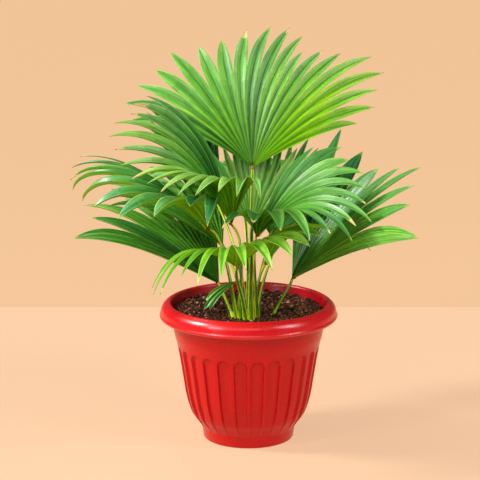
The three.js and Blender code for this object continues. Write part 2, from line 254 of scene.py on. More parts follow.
def leaf_material(name, colour, roughness, gloss):
    """Leaf of one green: fine veins in relief, and streaks a little lighter and darker."""
    material, tree, shader = start_material(name, roughness)
    shader.inputs["Specular IOR Level"].default_value = gloss
    streaks = grain_noise(tree, STREAK_GRAIN)
    vary(tree, streaks, shader.inputs["Base Color"], colour * (1 - STREAKS), colour * (1 + STREAKS))
    vary(tree, streaks, shader.inputs["Roughness"], roughness - 0.05, roughness + 0.06)
    relief(tree, grain_noise(tree, VEIN_GRAIN, 1.0), shader, VEIN_HEIGHT)
    return material


TOP_ROUGHNESS, GLOSS = (0.44, 0.28), (0.06, 0.85)     # of deep green and of pale green
WARM_DULLS = 0.5            # share of its gloss that the warmest green lacks
UNDER_ROUGHNESS, UNDER_GLOSS = 0.5, 0.3
# The lower faces are painted lighter and yellower than their own olive, as light shining through the
# leaf.
UNDER_TONES_WITH_GLOW = [screen(82, 158, 0), screen(106, 178, 0), screen(136, 206, 30)]
# A tip fades first. Where it dries, it turns to straw and, at the very end, brown.
TIP_TONES = [screen(150, 176, 66), screen(206, 190, 120), screen(140, 104, 52)]
LEAF = []
for i in range(LIGHT_STEPS):
    for j in range(WARM_STEPS):
        light, warm = i / (LIGHT_STEPS - 1), j / (WARM_STEPS - 1)
        roughness, gloss = lerp(*TOP_ROUGHNESS, light), lerp(*GLOSS, light) * (1 - WARM_DULLS * warm)
        LEAF.append(leaf_material(f"leaf_{i}_{j}", green(light, warm), roughness, gloss))
UNDER_FIRST = len(LEAF)
for k, tone in enumerate(UNDER_TONES_WITH_GLOW):
    LEAF.append(leaf_material(f"leaf_under_{k}", tone, UNDER_ROUGHNESS, UNDER_GLOSS))
TIP_FIRST = len(LEAF)
for k, tone in enumerate(TIP_TONES):
    LEAF.append(leaf_material(f"leaf_tip_{k}", tone, UNDER_ROUGHNESS, UNDER_GLOSS))
print(len(LEAF), "leaf materials")

# %% [markdown]
# ## How a fan grows
#
# A fan blade is a pleated sheet that is cut into leaflets from its edge inwards. Each leaflet and each
# cut follows a line from the hub: it starts on a folded cone and then falls under its own weight. The
# rule below is the one that the solids follow, written for arrays and with steeper pleats. Modelling
# each leaflet by hand would give more control, but a rule keeps 170 of them true to one growth.

# %% The rule's fixed numbers
BLADE_START = 2.2           # inner radius of a blade, round the petiole's tip
PLEAT = 31                  # slope of the pleats, degrees
RIB_STEPS = 48              # steps of a line's path
RIB_OVERRUN = 1.4           # a path is worked out this far past the reach
LENGTH_SPREAD, DROOP_SPREAD, YAW_SPREAD, NOTCH_SPREAD = 0.05, 0.2, 0.12, 0.08
LEAFLET_TAPER = 2.0         # power of its taper
COMMON = dict(
    leaflets=13, ribs=1, spread=150, crowd=0, lean=0, reach=150, side=0.95, skew=0, split=0.6,
    split_side=0.6, roll=0, cup=0, fold=0, droop=40, power=1.3, bend=0, sweep=0, arch=(0, 0, 30),
    full=0.3, odd=(), upright=0.55, splay=0.1, follow=0.5, stalk=(2.3, 1.6), seed=1, light=(0.24, 0.62),
    warm=(0.6, 0.35), fresh_right=0, dry_tips=0.35, rib_tone=-0.16, dark_stalk=0,
)
print("a frond has", len(COMMON), "settings")


# %% Directions at the hub
def repeatable(seed, index, channel):
    """Repeatable numbers from -1 to 1, the same as the solids'."""
    v = np.sin(seed * 12.9898 + index * 78.233 + channel * 37.719) * 43758.5453
    return (v - np.floor(v)) * 2 - 1


def direction(azimuth, elevation):
    az, el = math.radians(azimuth), math.radians(elevation)
    return np.array([math.cos(el) * math.cos(az), math.cos(el) * math.sin(az), math.sin(el)])


def blade_frame(leaf):
    """Axis, upper normal and right-hand side of a blade at its hub."""
    axis, up = direction(leaf["az"], leaf["el"]), direction(leaf["az"], leaf["el"] + 90)
    roll = math.radians(leaf["roll"])
    normal = up * math.cos(roll) + np.cross(axis, up) * math.sin(roll)
    return axis, normal, np.cross(axis, normal)


def line_angle(leaf, t):
    """Angle from the axis of the line at t, from -1 at the left margin to 1."""
    return math.radians(leaf["spread"] / 2) * (
        t * (1 + leaf["crowd"] * (1 - t * t)) + leaf["lean"] * (1 - t * t))


print("a blade that rises by 30 degrees points along", np.round(direction(0, 30), 2))


# %% Paths that bend and fall
FOLD_WITHIN = 0.35          # angle from the axis over which a fold opens, in radians
FREE_WITHIN = 0.25          # share of the reach over which a leaflet comes free past its notch


def grow_lines(leaf, angle, notch=1e9, droop_more=0.0, yaw=0.0):
    """Paths from the hub for an array of angles: places, headings and sideways directions."""
    axis, normal, side = blade_frame(leaf)
    c, s = np.cos(angle)[:, None], np.sin(angle)[:, None]
    fold = math.radians(leaf["fold"]) * np.clip(np.abs(angle) / FOLD_WITHIN, 0, 1)[:, None]
    cup = math.radians(leaf["cup"])
    heading = unit(c * axis + s * np.cos(fold) * side + np.abs(s) * np.sin(fold) * normal)
    heading = unit(heading * math.cos(cup) + normal * math.sin(cup))
    across = -s * axis + c * np.cos(fold) * side + np.sign(angle)[:, None] * c * np.sin(fold) * normal
    reach, power = leaf["reach"], leaf["power"]
    step = reach * RIB_OVERRUN / RIB_STEPS
    at = np.zeros_like(heading)
    arch_turn, arch_angle, arch_width = leaf["arch"]
    arched = np.exp(-((np.degrees(angle) - arch_angle) / arch_width) ** 2)
    bent = np.radians(leaf["bend"] * np.sin(angle) + leaf["sweep"] + arch_turn * arched)
    path = []
    for k in range(RIB_STEPS + 1):
        across = unit(across - (across * heading).sum(1, keepdims=True) * heading)
        path.append((at, heading, across))
        r = (k + 0.5) * step
        rate = (power + 1) * (r / reach) ** power * step / reach
        free = np.clip((r - notch) / (FREE_WITHIN * reach), 0, 1) * np.ones(len(angle))
        down = np.array([0, 0, -1.0]) + heading * heading[:, 2:]
        fall = math.radians(leaf["droop"]) * rate * (1 + droop_more * free)
        turn = yaw * free * step / reach + bent * rate
        heading = unit(heading + down * fall[:, None] + across * turn[:, None])
        at = at + heading * step
    return [np.stack(part, 1) for part in zip(*path)], step


def on_lines(lines, radius):
    """Places, sideways directions and upper normals at these radii, one row of radii a line."""
    (at, heading, across), step = lines
    x = np.clip(radius / step, 0, RIB_STEPS - 1e-6)
    k = x.astype(int)
    w = (x - k)[..., None]
    line = np.arange(len(at)).reshape(-1, *[1] * (radius.ndim - 1))
    place, ahead, side = (lerp(part[line, k], part[line, k + 1], w) for part in (at, heading, across))
    side, ahead = unit(side), unit(ahead)
    return place, side, np.cross(side, ahead)


SAMPLE = dict(COMMON, az=0, el=0)
tip, _, _ = on_lines(grow_lines(SAMPLE, np.array([0.0])), np.array([[COMMON["reach"]]]))
print("a leaflet that starts level ends", round(-tip[0, 0, 2]), "mm below its hub")


# %% [markdown]
# ## From lines to a sheet
#
# Between two cuts a leaflet is a strip of columns, folded at each rib. The solids have two columns a
# rib and a handful of rows. Here each half pleat has four narrow columns, so that ridges and valleys
# come out rounded, and the rows are close enough for a smooth bend. A subdivision modifier would round
# the folds as well, but it would blunt the cuts and the tips.

# %% Rows and columns of a blade
JOINED_ROWS, FREE_ROWS = 16, 30
HALF_PLEAT = np.array([0.0, 0.13, 0.5, 0.87])     # columns from a ridge to a valley
ROUNDED = 0.6               # share of a soft wave in a pleat, the rest has straight flanks


def pleat_columns(ribs):
    """Positions from -1 to 1 over one leaflet, and the height of the pleat at each."""
    share, x = [], []
    for half in range(2 * ribs):
        x += list((half + HALF_PLEAT) / ribs - 1)
        share += list(HALF_PLEAT if half % 2 else 1 - HALF_PLEAT)
    x, share = np.array([*x, 1.0]), np.array([*share, 1.0])
    return x, lerp(share, 0.5 - 0.5 * np.cos(math.pi * share), ROUNDED)


print("a leaflet with one rib has", len(pleat_columns(1)[0]), "columns")


# %% What a blade follows
MARGIN_NOTCH = 0.6          # a blade's own margin counts as cut from this share of the next notch


def plan_blade(leaf):
    """A length and a rib line for each leaflet, a notch and a line for each cut, and the columns."""
    n, reach, seed = leaf["leaflets"], leaf["reach"], leaf["seed"]
    number, cut = np.arange(n), np.arange(n + 1)
    t, t_cut = (number + 0.5) / n * 2 - 1, cut / n * 2 - 1
    angles = line_angle(leaf, t_cut)
    notch = lerp(leaf["split"], leaf["split_side"], t_cut ** 2)
    notch = reach * notch * (1 + NOTCH_SPREAD * repeatable(seed, cut, 9))
    notch[0], notch[-1] = notch[1] * MARGIN_NOTCH, notch[-2] * MARGIN_NOTCH
    length = reach * (1 - (1 - leaf["side"]) * t ** 2) * (1 + leaf["skew"] * t)
    length = length * (1 + LENGTH_SPREAD * repeatable(seed, number, 0))
    for index, factor in leaf["odd"]:
        length[index] *= factor
    droop_more = DROOP_SPREAD * repeatable(seed, number, 1)
    yaw = YAW_SPREAD * repeatable(seed, number, 2)
    ribs = grow_lines(leaf, line_angle(leaf, t), np.minimum(notch[:-1], notch[1:]), droop_more, yaw)
    x, height = pleat_columns(leaf["ribs"])
    # The cut beside each column, as [leaflet, 1, column].
    edge = np.where(x >= 0, number[:, None] + 1, number[:, None])[:, None, :]
    mid_notch = ((notch[:-1] + notch[1:]) / 2)[:, None, None]
    return dict(t=t, x=x, height=height, edge=edge, angles=angles, notch=notch, mid_notch=mid_notch,
                length=length, ribs=ribs, cuts=grow_lines(leaf, angles))


print("the longest leaflet of the sample is", round(plan_blade(SAMPLE)["length"].max()), "mm long")


# %% The joined part of a blade
FLATTER_FROM, FLATTEST = 0.4, 0.75      # pleats flatten past this share of the reach, at most so far
FLAT_AT_HUB, HUB_ZONE = 0.6, (0.05, 0.3)     # and they are flatter close to the hub


def pleat_rise(leaf, r, opening):
    """Height of the pleats between two lines that open by an angle."""
    share = r / leaf["reach"]
    slope = math.tan(math.radians(PLEAT)) / (2 * leaf["ribs"])
    return (r * opening * slope * np.clip(1 + FLATTER_FROM - share, FLATTEST, 1)
            * lerp(FLAT_AT_HUB, 1, ramp(share, *HUB_ZONE)))


def joined_part(leaf, plan):
    """The sheet from the hub to the notches: places, upper normals and radii."""
    edge, notch, angles = plan["edge"], plan["notch"], plan["angles"]
    w = np.abs(plan["x"])
    joined = np.linspace(0, 1, JOINED_ROWS + 1)[None, :, None]
    r_rib = lerp(BLADE_START, plan["mid_notch"], joined) * np.ones_like(w)
    r_cut = lerp(BLADE_START, notch[edge], joined)
    lift = lerp(pleat_rise(leaf, r_rib, np.diff(angles)[:, None, None]),
                pleat_rise(leaf, r_cut, np.gradient(angles)[edge]), w)
    rib_place, _, rib_normal = on_lines(plan["ribs"], r_rib)
    radii = lerp(BLADE_START, notch[:, None], joined[0, :, 0])
    cut_places, _, cut_normals = on_lines(plan["cuts"], radii)
    row = np.arange(JOINED_ROWS + 1)[None, :, None]
    normal = unit(lerp(rib_normal, cut_normals[edge, row], w[:, None]))
    place = lerp(rib_place, cut_places[edge, row], w[:, None])
    return place + normal * (lift * plan["height"])[..., None], normal, lerp(r_rib, r_cut, w)


opening = math.radians(SAMPLE["spread"] / SAMPLE["leaflets"])
print("60 mm out, the sample's pleats are", round(pleat_rise(SAMPLE, 60, opening), 1), "mm high")


# %% [markdown]
# Past its notch a leaflet keeps the cross-section that it had there, narrowed to a point, and is
# turned a little about its rib. Cutting the tips out of a round sheet would be quicker, but then they
# couldn't hang and twist one by one.

# %% The free ends of a blade
TWIST_SPREAD = 14           # degrees that a leaflet turns about its rib towards the tip
TIP_AT = 0.997              # the last row stops just short of a point
CLOSER = 1.1                # power by which rows get closer towards the tip


def free_part(leaf, plan, last_joined):
    """The sheet past the notches: places, upper normals and radii."""
    number = np.arange(leaf["leaflets"])
    length, mid_notch = plan["length"], plan["mid_notch"]
    v = np.linspace(0, TIP_AT, FREE_ROWS + 1)[1:]
    along = 1 - (1 - v) ** CLOSER
    wider = leaf["full"] * (length / mid_notch[:, 0, 0] - 1)
    profile = (1 + wider[:, None] * along) * (1 - along ** LEAFLET_TAPER)
    start = lerp(mid_notch[..., 0], plan["notch"][plan["edge"][:, 0]], np.abs(plan["x"]))
    place, side, up = on_lines(plan["ribs"], start)
    offset = last_joined - place
    sideways, upwards = (offset * side).sum(-1), (offset * up).sum(-1)
    radius = start[:, None] + (length[:, None] - start)[:, None] * along[None, :, None]
    place, side, up = on_lines(plan["ribs"], radius)
    twist = np.radians(TWIST_SPREAD * repeatable(leaf["seed"], number, 3))
    turn = twist[:, None, None] * along[None, :, None]
    flat = (sideways[:, None] * np.cos(turn) - upwards[:, None] * np.sin(turn)) * profile[..., None]
    high = (sideways[:, None] * np.sin(turn) + upwards[:, None] * np.cos(turn)) * profile[..., None]
    return place + side * flat[..., None] + up * high[..., None], up, radius


def blade_sheet(leaf):
    """The middle surface of a blade, as [leaflet, row, column], its upper normals and its plan."""
    plan = plan_blade(leaf)
    joined, normal, near = joined_part(leaf, plan)
    free, up, far = free_part(leaf, plan, joined[:, -1])
    plan["radius"] = np.concatenate([near, far], 1)
    plan["share"] = plan["radius"] / plan["length"][:, None, None]
    return np.concatenate([joined, free], 1), np.concatenate([normal, up], 1), plan


print("leaflets, rows and columns of the sample:", blade_sheet(SAMPLE)[0].shape[:3])


# %% [markdown]
# ## A closed blade
#
# A real leaf has two faces and a thin edge. A solidify modifier would thicken the sheet evenly. Here
# the lower face is set off, because there the ribs stand out as fine cords. Leaflets share the points
# of their cut up to the notch and are separate past it.

# %% Faces of a closed blade
UPPER, LOWER, RIM_OF_LEAF = 0, 1, 2


def closed_faces(n, rows, columns):
    """The faces of both sides and of the rim, with the cell of the sheet and the side of each."""
    number = np.arange(n * rows * columns).reshape(n, rows, columns)
    for i in range(1, n):
        number[i, :JOINED_ROWS + 1, 0] = number[i - 1, :JOINED_ROWS + 1, -1]
    total = number.size
    i, row, column = np.indices((n, rows - 1, columns - 1)).reshape(3, -1)
    a, b = number[i, row, column], number[i, row, column + 1]
    c, d = number[i, row + 1, column + 1], number[i, row + 1, column]
    top = np.stack([a, b, c, d], 1)
    bottom = np.stack([b, a, d, c], 1) + total
    rim, where = [], []
    for k in range(n):
        first = 0 if k == 0 else JOINED_ROWS
        last = 0 if k == n - 1 else JOINED_ROWS
        for line, forward, rim_rows, rim_column in (
                (number[k, first:, 0], True, np.arange(first, rows - 1), 0),
                (number[k, last:, -1], False, np.arange(last, rows - 1), columns - 2),
                (number[k, 0], False, 0, np.arange(columns - 1)),
                (number[k, -1], True, rows - 2, np.arange(columns - 1))):
            p, q = (line[:-1], line[1:]) if forward else (line[1:], line[:-1])
            rim.append(np.stack([p, q, q + total, p + total], 1))
            where.append(np.stack(np.broadcast_arrays(k, rim_rows, rim_column), 1))
    rim = np.concatenate(rim)
    cell = np.concatenate([np.stack([i, row, column], 1)] * 2 + where)
    side = np.repeat([UPPER, LOWER, RIM_OF_LEAF], [len(top), len(bottom), len(rim)])
    return np.concatenate([top, bottom, rim]), cell, side


print("a blade of 13 leaflets has", len(closed_faces(13, JOINED_ROWS + FREE_ROWS + 1, 9)[0]), "faces")


# %% [markdown]
# ## Dealing out the greens
#
# A face's green depends on how far out it lies, on its leaflet and on its place in the pleat, which
# carries painted light: low beside a rib the green is painted darker and cooler, as shade in the
# crease, high on a ridge it is painted lighter, as a highlight, and near the hub both are calmer. On
# two fronds the rib is painted paler and warmer instead, as a highlight along it. A little repeatable
# noise, the same along a whole column, makes the steps between two greens fall unevenly, as streaks
# do. The last bit of each leaflet fades, and on some leaflets it is dry.

# %% Greens for each face
LEAFLETS_DIFFER = 0.07      # in light and in warm
COLUMNS_DIFFER = (0.04, 0.05)
OUTWARD = (0.1, 0.9)        # from the hub's green to the green further out, as shares of the length
RIGHT_HALF, RIGHT_PAINTED_LIGHT = (-0.1, 0.9), 0.35      # where the right half's tint grows, and the share of it that goes into painted light and shade
BESIDE_RIB = 0.12           # height of the pleat up to which a face lies beside a rib
FLANK_PAINTED_SHADE = -0.14          # painted shade on all other faces, before their height counts
# a ridge is painted lighter by this much at the pleat's full height, as a highlight
RIDGE_PAINTED_HIGHLIGHT = 0.30
FREE_LOSES, FREE_FADE = 0.10, 8         # painted highlight that a ridge loses past its notch, over so many rows
HUB_CALM, CALM_ZONE = 0.4, (0.08, 0.35)     # share of this painted light and shade that shows near the hub, and where
UNDER_TONE, UNDER_BY_LEAFLET, UNDER_BY_COLUMN = 1, 0.5, 0.35
TIP_FROM, DRY_LONGER, TIP_UNEVEN, BROWN_FROM = 0.965, 0.05, 0.012, 0.985      # shares of the length


def nearest(value, steps):
    """The nearest of so many steps for a value from 0 to 1."""
    return np.clip(np.round(value * (steps - 1)), 0, steps - 1).astype(int)


def deal_greens(leaf, plan, cell, side):
    """The number of a leaf material for each face."""
    i, row, column = cell.T
    share, height = plan["share"][i, row, column], plan["height"]
    by_leaflet = repeatable(leaf["seed"], i, 4)
    by_column = repeatable(leaf["seed"] + i, column, 5)
    out = ramp(share, *OUTWARD)
    # The hub's darker green is partly painted shade where the crown closes over it.
    light = lerp(*leaf["light"], out) + LEAFLETS_DIFFER * by_leaflet + COLUMNS_DIFFER[0] * by_column
    warm = lerp(*leaf["warm"], out) + LEAFLETS_DIFFER * by_leaflet + COLUMNS_DIFFER[1] * by_column
    # The right half is tinted and painted lighter; below 0 it is painted cooler and darker, as shade.
    to_right = leaf["fresh_right"] * ramp(plan["t"][i], *RIGHT_HALF) * (1 - 0.5 * share)
    light, warm = light + RIGHT_PAINTED_LIGHT * to_right, warm + to_right
    beside_rib = (height[column] + height[column + 1]) / 2 < BESIDE_RIB
    free = ramp(row, JOINED_ROWS, JOINED_ROWS + FREE_FADE)
    clear = lerp(HUB_CALM, 1, ramp(share, *CALM_ZONE))
    # Painted shade in the crease beside a rib, and painted highlight rising towards a ridge.
    painted_light = np.where(beside_rib, leaf["rib_tone"], FLANK_PAINTED_SHADE)
    painted_light = painted_light + (RIDGE_PAINTED_HIGHLIGHT - FREE_LOSES * free) * height[column]
    light = light + clear * painted_light
    warm = warm + clear * np.where(beside_rib, leaf["rib_tone"], 0)
    choice = nearest(light, LIGHT_STEPS) * WARM_STEPS + nearest(warm, WARM_STEPS)
    under = UNDER_TONE + UNDER_BY_LEAFLET * by_leaflet + UNDER_BY_COLUMN * by_column
    under = np.clip(np.round(under), 0, len(UNDER_TONES_WITH_GLOW) - 1).astype(int)
    choice = np.where(side == LOWER, UNDER_FIRST + under, choice)
    dry = repeatable(leaf["seed"], i, 7) * 0.5 + 0.5 < leaf["dry_tips"]
    longer = DRY_LONGER * dry * (repeatable(leaf["seed"], i, 8) * 0.5 + 0.5)
    at_tip = share > TIP_FROM - longer + TIP_UNEVEN * by_column
    return np.where(at_tip, TIP_FIRST + np.where(dry, np.where(share > BROWN_FROM, 2, 1), 0), choice)


print("of a leaflet of 100 mm the last", round(100 * (1 - TIP_FROM), 1), "mm fade")


# %% [markdown]
# A blade needs two maps. The veins follow the first, which is measured along the leaflets. The second
# lays the blade out flat, so that its colours can be painted into a picture: leaflets side by side,
# with their lower faces above the upper ones. An automatic unwrap would cut the leaflets apart.

# %% Maps of a blade
STRIP_WIDTH = 0.92          # of the width that each leaflet has in the layout
STRIP_LENGTH, GAP = 0.48, 0.01          # of the whole layout


def lay_leaf_maps(piece, leaf, plan, used, shape):
    """The map that the veins follow, and a flat layout of the blade: leaflets side by side."""
    n, rows, _ = shape
    index = np.empty(len(piece.data.loops), np.int32)
    piece.data.loops.foreach_get("vertex_index", index)
    corner = used[index]
    below = corner >= math.prod(shape)
    i, row, column = np.unravel_index(corner % math.prod(shape), shape)
    # A corner on a shared cut is counted with the leaflet of its own face, as column 0.
    own = i.reshape(-1, 4).max(1)
    column = np.where(i == np.repeat(own, 4), column, 0)
    i = np.repeat(own, 4)
    x = plan["x"][column]
    radius = plan["radius"][i, row, column]
    lay_map(piece, "grain", np.stack([(i + 0.5 + x / 2) * 2 * leaf["ribs"], radius / 10], 1))
    strip = (i + 0.5 + x * (STRIP_WIDTH / 2) + np.where(below, GAP, 0)) / n
    along = GAP + STRIP_LENGTH * row / (rows - 1)
    lower = np.repeat(below.reshape(-1, 4).all(1), 4)
    lay_map(piece, "OFBake", np.stack([strip, np.where(lower, along + 0.5, along)], 1))


print("each of 13 leaflets takes", round(STRIP_WIDTH / 13, 3), "of the layout's width")


# %% [markdown]
# Now a blade can be put together: the sheet is moved to its hub, thickened and closed, and each of its
# faces gets its green. The ribs below are stout near the hub and run out towards the tips.

# %% A blade
LEAF_THICKNESS = 0.5
RIB_THICKNESS = 0.7         # how far a rib stands out below
RIB_THINS_FROM, RIB_AT_TIP = 0.3, 0.25        # as a share of the length and of its thickness
RIB_SLENDER = 3             # a rib ends at a third of the pleat's height


def blade_piece(leaf):
    """A blade as one closed piece: upper face, lower face and the rim between them."""
    sheet, normal, plan = blade_sheet(leaf)
    taper = np.clip(1 + RIB_THINS_FROM - plan["share"], RIB_AT_TIP, 1)
    rib = np.clip(1 - RIB_SLENDER * plan["height"], 0, 1)
    below = LEAF_THICKNESS / 2 + RIB_THICKNESS * rib * taper
    middle = np.array(leaf["hub"], float) + sheet
    upper = middle + normal * LEAF_THICKNESS / 2
    lower = middle - normal * below[..., None]
    shape = sheet.shape[:3]
    faces, cell, side = closed_faces(*shape)
    used, faces = np.unique(faces, return_inverse=True)
    points = np.concatenate([upper.reshape(-1, 3), lower.reshape(-1, 3)])[used]
    name = leaf["name"]
    piece = mesh_piece(f"blade_{name}", points, faces.reshape(-1, 4), f"frond_{name}")
    paint(piece, LEAF, deal_greens(leaf, plan, cell, side))
    lay_leaf_maps(piece, leaf, plan, used, shape)
    return piece


print("a blade is", LEAF_THICKNESS, "mm thick, and", LEAF_THICKNESS + RIB_THICKNESS, "mm at a stout rib")


# %% [markdown]
# ## The fifteen fronds
#
# Every frond has its hub, the direction of its axis there and how it is folded, cupped and bent.
# These are the same driving sizes as the solids have, in millimetres and degrees. Its last entries
# are its greens: light and warm at the hub and further out, where a dark hub is partly painted shade and
# a frond deep in the crown is set lighter as painted light; how much its right-hand half is tinted and
# painted lighter, or darker as shade where the setting is below 0; the painted shade beside its ribs,
# which two fronds have as a painted highlight; the share of dry tips; and how much darker its stalk is
# painted, as shade. Each could be bent by hand instead, but then a change to the solids would have to be
# repeated by eye.

# %% The fronds
FRONDS = [
    dict(name="top", hub=(4.5, 5, 309), az=83, el=73, base=(2, -46.5), splay=0.15, full=0.8,
         stalk=(2.8, 1.6), follow=0.7, leaflets=19, spread=115, lean=-0.03, crowd=0.03, reach=170,
         side=1.07, skew=0.03, split=0.7, split_side=0.56, roll=5, cup=-12, fold=0, droop=24, power=0.7,
         bend=21, sweep=-4, arch=(35, -9, 28), odd=((0, 0.88), (2, 1.06), (6, 0.93), (7, 1.06),
         (9, 1.09), (11, 0.94), (14, 1.15), (15, 1.17), (17, 0.88), (18, 0.72)), light=(0.13, 0.56),
         warm=(0.7, 0.4), fresh_right=0.6, dry_tips=0.1),
    dict(name="upper_left", hub=(-19, -25, 251), az=-143, el=-2, base=(-8, -43.5), splay=0.25,
         leaflets=15, spread=149, lean=-0.16, crowd=-0.17, reach=193, side=0.9, skew=0.02, split=0.62,
         split_side=0.62, roll=-16, cup=54, fold=23, droop=81, power=0.7, bend=-19, sweep=-4,
         arch=(42, -1, 54), odd=((4, 0.94), (6, 0.91), (8, 0.92), (11, 1.09)), light=(0.19, 0.8),
         warm=(0.65, 0.5), fresh_right=-0.45),
    dict(name="left", hub=(-44, -15, 243), az=-125, el=-12, base=(-13, -38.5), splay=0.3, follow=0.7,
         leaflets=10, spread=126, lean=0.28, crowd=0.18, reach=168, side=0.94, skew=0.12, split=0.62,
         split_side=0.62, roll=-3, cup=50, fold=7, droop=80, power=0.9, bend=-3, sweep=30,
         arch=(48, 24, 23), odd=((0, 1.12), (1, 0.84), (4, 0.94), (5, 1.12), (6, 1.12), (7, 1.12)),
         light=(0.1, 0.66), warm=(0.35, 0.05)),
    dict(name="low_left", hub=(-33, -5, 179), az=150, el=32, base=(-18.5, -33), full=0.6, splay=0.5,
         stalk=(3.2, 1.7), leaflets=7, ribs=3, spread=102, lean=0.29, crowd=0.17, reach=166, side=1.1,
         skew=0.03, split=0.58, split_side=0.58, roll=3, cup=4, fold=4, droop=27, bend=-8, sweep=8,
         arch=(-33, -1, 38), odd=((1, 0.94), (2, 1.14)), light=(0.06, 0.62), warm=(0.5, 0.35),
         dry_tips=0, rib_tone=0.12),
    dict(name="low_right", hub=(48.5, -5, 184), az=7, el=65, base=(28, -17), full=0.6, splay=0.5,
         stalk=(2.4, 1.7), leaflets=8, ribs=3, spread=116, lean=0.23, crowd=-0.3, reach=179, side=1.25,
         skew=0.03, roll=7, cup=-11, fold=10, droop=15, power=0.7, bend=-9, sweep=-2, arch=(17, 15, 39),
         odd=((0, 1.12), (1, 0.86), (2, 0.89), (4, 1.13), (5, 1.13), (7, 1.12)), light=(0.12, 0.44),
         warm=(0.4, 0.1), fresh_right=0.4, dry_tips=0, rib_tone=0.08, dark_stalk=1.4),
    dict(name="right", hub=(8, -39, 241), az=-33, el=4, base=(9, -40), upright=0.4, splay=0.25,
         follow=0.2, leaflets=14, spread=133, lean=-0.06, crowd=-0.3, reach=166, side=0.74, skew=0.05,
         split=0.62, roll=15, cup=37, fold=22, droop=83, power=0.7, bend=24, sweep=9,
         arch=(-15, 20, 32), odd=((0, 0.92), (4, 0.94), (12, 0.9)), light=(0.22, 0.45),
         warm=(0.5, 0.35)),
    dict(name="front", hub=(-13, -50, 209), az=-69, el=4, base=(-3.3, -47), splay=0.3, stalk=(2.2, 1.8),
         leaflets=12, spread=118, lean=0.36, crowd=-0.11, reach=156, side=0.98, skew=0.11, split=0.55,
         split_side=0.58, roll=6, cup=35, fold=0, droop=74, power=0.7, bend=-21, sweep=-12,
         arch=(27, 49, 27), odd=((0, 0.89), (1, 0.88), (7, 1.08), (8, 0.91), (9, 1.11)),
         light=(0.46, 0.6), warm=(1.0, 0.7)),
    dict(name="mid_right", hub=(18, -4, 200), az=-26, el=47, base=(6, -32), follow=0.75, leaflets=8,
         spread=66, reach=74, roll=-10, cup=13, fold=8, droop=67, light=(0.26, 0.44), warm=(0.7, 0.6)),
    dict(name="back_left", hub=(-35, 56, 257), az=150, el=49, base=(-3, -34), follow=0.7, leaflets=11,
         spread=84, reach=134, roll=6, cup=8, fold=6, droop=25, power=1.2, light=(0.22, 0.44),
         warm=(0.2, 0.1)),
    dict(name="centre_back", hub=(4, 16, 238), az=87, el=78, base=(1, -31), full=0.6, leaflets=12,
         spread=85, lean=-0.06, crowd=-0.2, reach=103, roll=10, fold=11, droop=27, power=0.7, sweep=-11,
         arch=(27, -19, 22), light=(0.46, 0.68), warm=(0.6, 0.4)),
    dict(name="back_right", hub=(34, 43, 226), az=52, el=62, base=(10, -28), spread=98, reach=112,
         roll=10, cup=7, fold=10, droop=42, light=(0.34, 0.6), warm=(0.3, 0.1)),
    dict(name="rear_left", hub=(-29, 44, 211), az=148, el=26, base=(-6, -24), spread=99, reach=154,
         cup=11, fold=10, droop=40),
    dict(name="rear_right", hub=(27, 57, 217), az=61, el=8, base=(6, -21), roll=10, spread=104,
         reach=132, cup=2, fold=8, droop=55),
    dict(name="rear", hub=(-4, 56, 243), az=100, el=22, base=(0, -19), spread=104, reach=150, cup=10,
         fold=10, droop=69),
    dict(name="young", hub=(-11.5, -33, 189), az=208, el=-14, base=(-13.5, -28), stalk=(1.8, 1.2),
         leaflets=3, spread=24, reach=50, side=0.8, split=0.9, split_side=0.9, roll=-55, cup=0, fold=8,
         droop=55, power=0.6, light=(0.2, 0.5), warm=(0.5, 0.4)),
]
for leaf in FRONDS:
    leaf.update({**COMMON, **leaf})

# %% Make the blades
for leaf in FRONDS:
    piece = blade_piece(leaf)
    print(piece.name, len(piece.data.polygons), "faces")

# %% [markdown]
# ## Petioles
#
# Each blade is carried by a smooth stalk that leaves the soil steeply and bends over to the hub. A
# curve object with a bevel would give a round stalk at once. A mesh round a path is chosen, because
# the stalk's section changes from end to end. The path is the one that the solids follow.

# %% Soil surface and petiole paths
SOIL_EDGE_Z, SOIL_MIDDLE_Z, SOIL_EDGE_RADIUS = 147, 148.5, 81
CLEARANCE = 0.3             # between soil and stalk
TIP_CLEARANCE = 0.35        # between a stalk's tip and its blade
TIP_HANDLE = 0.3            # length of the curve's upper handle, as a share of the rise


def soil_height(radius):
    return lerp(SOIL_MIDDLE_Z, SOIL_EDGE_Z, np.minimum(radius / SOIL_EDGE_RADIUS, 1))


def petiole_path(leaf, steps):
    """Points of a petiole, from the soil to the hub."""
    hub = np.array(leaf["hub"], float)
    x, y = leaf["base"]
    base = np.array([x, y, soil_height(math.hypot(x, y)) + CLEARANCE])
    rise = hub[2] - base[2]
    ahead = unit(lerp(np.array([0, 0, 1.0]), blade_frame(leaf)[0], leaf["follow"]))
    opening = BLADE_START * math.cos(math.radians(min(leaf["spread"] / 2, 90)))
    tip = hub + ahead * max(opening - TIP_CLEARANCE, 0)
    leaning = (hub - base) * [leaf["splay"], leaf["splay"], leaf["upright"]]
    a, b, c, d = base, base + leaning, tip - ahead * rise * TIP_HANDLE, tip
    u = np.linspace(0, 1, steps + 1)[:, None]
    return (1 - u) ** 3 * a + 3 * u * (1 - u) ** 2 * b + 3 * u ** 2 * (1 - u) * c + u ** 3 * d


print("the soil is", SOIL_MIDDLE_Z, "mm up in the middle and", SOIL_EDGE_Z, "mm at its edge")


# %% [markdown]
# A stalk is widest where it sheathes its neighbours, rounded below and a little hollow above. At the
# hub it runs on under the blade as a short keel. So a ring of points is set round each point of the
# path and of the keel, with its hollow side towards the middle of the plant, then towards the blade's
# upper face.

